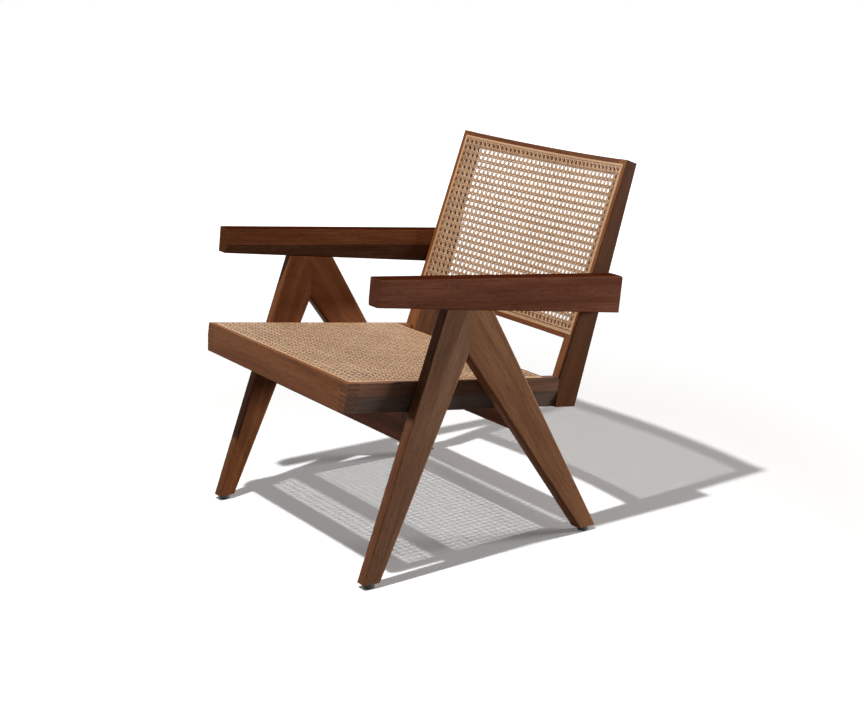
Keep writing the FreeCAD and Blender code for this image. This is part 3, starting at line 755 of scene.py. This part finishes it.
# %% The back panel
back_columns = 38
back_rows = 24
back_first_column = -0.2460
bow_half_width = 0.270
bow_depth = 0.025
bow_radius = (bow_half_width ** 2 + bow_depth ** 2) / (2 * bow_depth) - panel_thickness / 2
back_half = reach("back_cane", across)[1] - panel_lip
back_near, back_far = reach("back_cane", back_up)
side_front = reach("back_cane", back_rear)[0] + panel_thickness / 2
back_sagitta = bow_radius - math.sqrt(bow_radius ** 2 - (back_half + panel_lip) ** 2)
back_sizes = {
    **cane_stock, "Half Width": bow_radius * math.asin(back_half / bow_radius),
    "Near End": back_near + panel_lip, "Far End": back_far - panel_lip,
    "First Column": back_first_column, "First Row": back_far - (back_rows - 1) * mesh_along,
    "Columns": back_columns, "Rows": back_rows, "Seed": 23, "Bow Radius": bow_radius,
    "Middle": back_rear * (side_front + back_sagitta), "Along": back_up, "Out": -back_rear,
}
woven_back = woven_panel("woven_back", back_sizes)
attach(woven_back, "root")
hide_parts("back_cane")

# %% [markdown]
# The studio is a white floor that runs out of sight. A curved backdrop would serve one view, but the floor
# looks the same from every side. Its material tells the rays of the camera from those that carry light. To
# the camera the floor is white and glows a little, more so further out, so that it reads as a white ground
# while the shadow stays. To the light it is grey, so that it throws little up at the chair.

# %% The floor
floor_half = 12.0
floor_colour = (0.91, 0.905, 0.90, 1)
floor_bounce = (0.26, 0.26, 0.26, 1)
glow_starts = 0.9
glow_full = 3.5
least_glow = 0.10


def seen_directly(tree):
    """1 for rays from the camera, a mirror or glass, 0 for the rays that carry light."""
    path = add_node(tree, "ShaderNodeLightPath")
    seen = path.outputs["Is Camera Ray"]
    for other in ("Is Glossy Ray", "Is Transmission Ray"):
        seen = maths(tree, "MAXIMUM", seen, path.outputs[other])
    return seen


floor_mesh = bpy.data.meshes.new("studio_floor")
floor_corners = [(-floor_half, -floor_half, 0), (floor_half, -floor_half, 0),
                 (floor_half, floor_half, 0), (-floor_half, floor_half, 0)]
floor_mesh.from_pydata(floor_corners, [], [(0, 1, 2, 3)])
floor = bpy.data.objects.new("studio_floor", floor_mesh)
bpy.context.scene.collection.objects.link(floor)
white_floor, floor_tree, floor_shader = new_material("white_floor")
floor_seen = seen_directly(floor_tree)
floor_tree.links.new(blend(floor_tree, floor_seen, floor_bounce, floor_colour),
                     floor_shader.inputs["Base Color"])
floor_shader.inputs["Roughness"].default_value = 0.9
floor_shader.inputs["Specular IOR Level"].default_value = 0.0
floor_place = add_node(floor_tree, "ShaderNodeTexCoord").outputs["Object"]
floor_distance = add_node(floor_tree, "ShaderNodeVectorMath", {0: floor_place}, operation="LENGTH")
floor_glow = share_between(floor_tree, floor_distance.outputs["Value"], glow_starts, glow_full, least_glow)
floor_shader.inputs["Emission Color"].default_value = (1, 1, 1, 1)
floor_tree.links.new(maths(floor_tree, "MULTIPLY", floor_glow, floor_seen),
                     floor_shader.inputs["Emission Strength"])
floor_mesh.materials.append(white_floor)
print("white floor", 2 * floor_half, "m wide")

# %% [markdown]
# Light from all round would flatten the chair, so three lamps and only a faint world light it. A small lamp
# above and in front throws the crisp shadow, in which the mesh of the seat can be made out. Two broad lamps
# near the floor, one behind on the right and one on the left, lighten the sides. The world is white to the
# camera, and far weaker as a light.

# %% World and lamps
world_light = 0.04
lamp_aim = Vector((0, 0, 0.4))

world = bpy.data.worlds.new("studio_world")
bpy.context.scene.world = world
world.use_nodes = True
world_tree = world.node_tree
sky = world_tree.nodes["Background"]
sky.inputs["Color"].default_value = (1, 1, 1, 1)
sky_strength = share_between(world_tree, seen_directly(world_tree), 0.0, 1.0, least=world_light)
world_tree.links.new(sky_strength, sky.inputs["Strength"])


def studio_lamp(name, kind, power, radius, place):
    """A lamp that looks at the chair; radius is its half width, which softens its shadow."""
    lamp = bpy.data.lights.new(name, kind)
    lamp.energy = power
    if kind == "AREA":
        lamp.shape = "DISK"
        lamp.size = 2 * radius
    else:
        lamp.shadow_soft_size = radius
    lamp_object = bpy.data.objects.new(name, lamp)
    lamp_object.location = place
    lamp_object.rotation_euler = (lamp_aim - Vector(place)).to_track_quat("-Z", "Y").to_euler()
    bpy.context.scene.collection.objects.link(lamp_object)


studio_lamp("key_lamp", "POINT", power=530.0, radius=0.053, place=(0.36, -1.33, 3.5))
studio_lamp("side_lamp", "AREA", power=780.0, radius=0.9, place=(2.6, 6.5, 0.60))
studio_lamp("fill_lamp", "AREA", power=230.0, radius=0.9, place=(-7.0, 0.8, 0.70))
print("lamps:", ", ".join(lamp.name for lamp in bpy.data.lights))

# %% [markdown]
# The camera stands off the right front corner, higher than the back. Its place, tilt and lens were solved
# from points of the chair in a photograph: lines that run together give the turn and the tilt, and how fast
# the far side shrinks gives the distance.

# %% Camera
camera_place = (2.6153, -1.7787, 1.2064)
camera_dip = 15.64
camera_turn = 55.36
camera = bpy.data.cameras.new("studio_camera")
camera.sensor_fit = "HORIZONTAL"
camera.sensor_width = 36.0
camera.lens = 67.0
camera_object = bpy.data.objects.new("studio_camera", camera)
camera_object.location = camera_place
camera_object.rotation_euler = (math.radians(90 - camera_dip), 0, math.radians(camera_turn))
bpy.context.scene.collection.objects.link(camera_object)
bpy.context.scene.camera = camera_object
bpy.context.scene.view_settings.view_transform = "Standard"
print("camera lens", camera.lens, "mm")
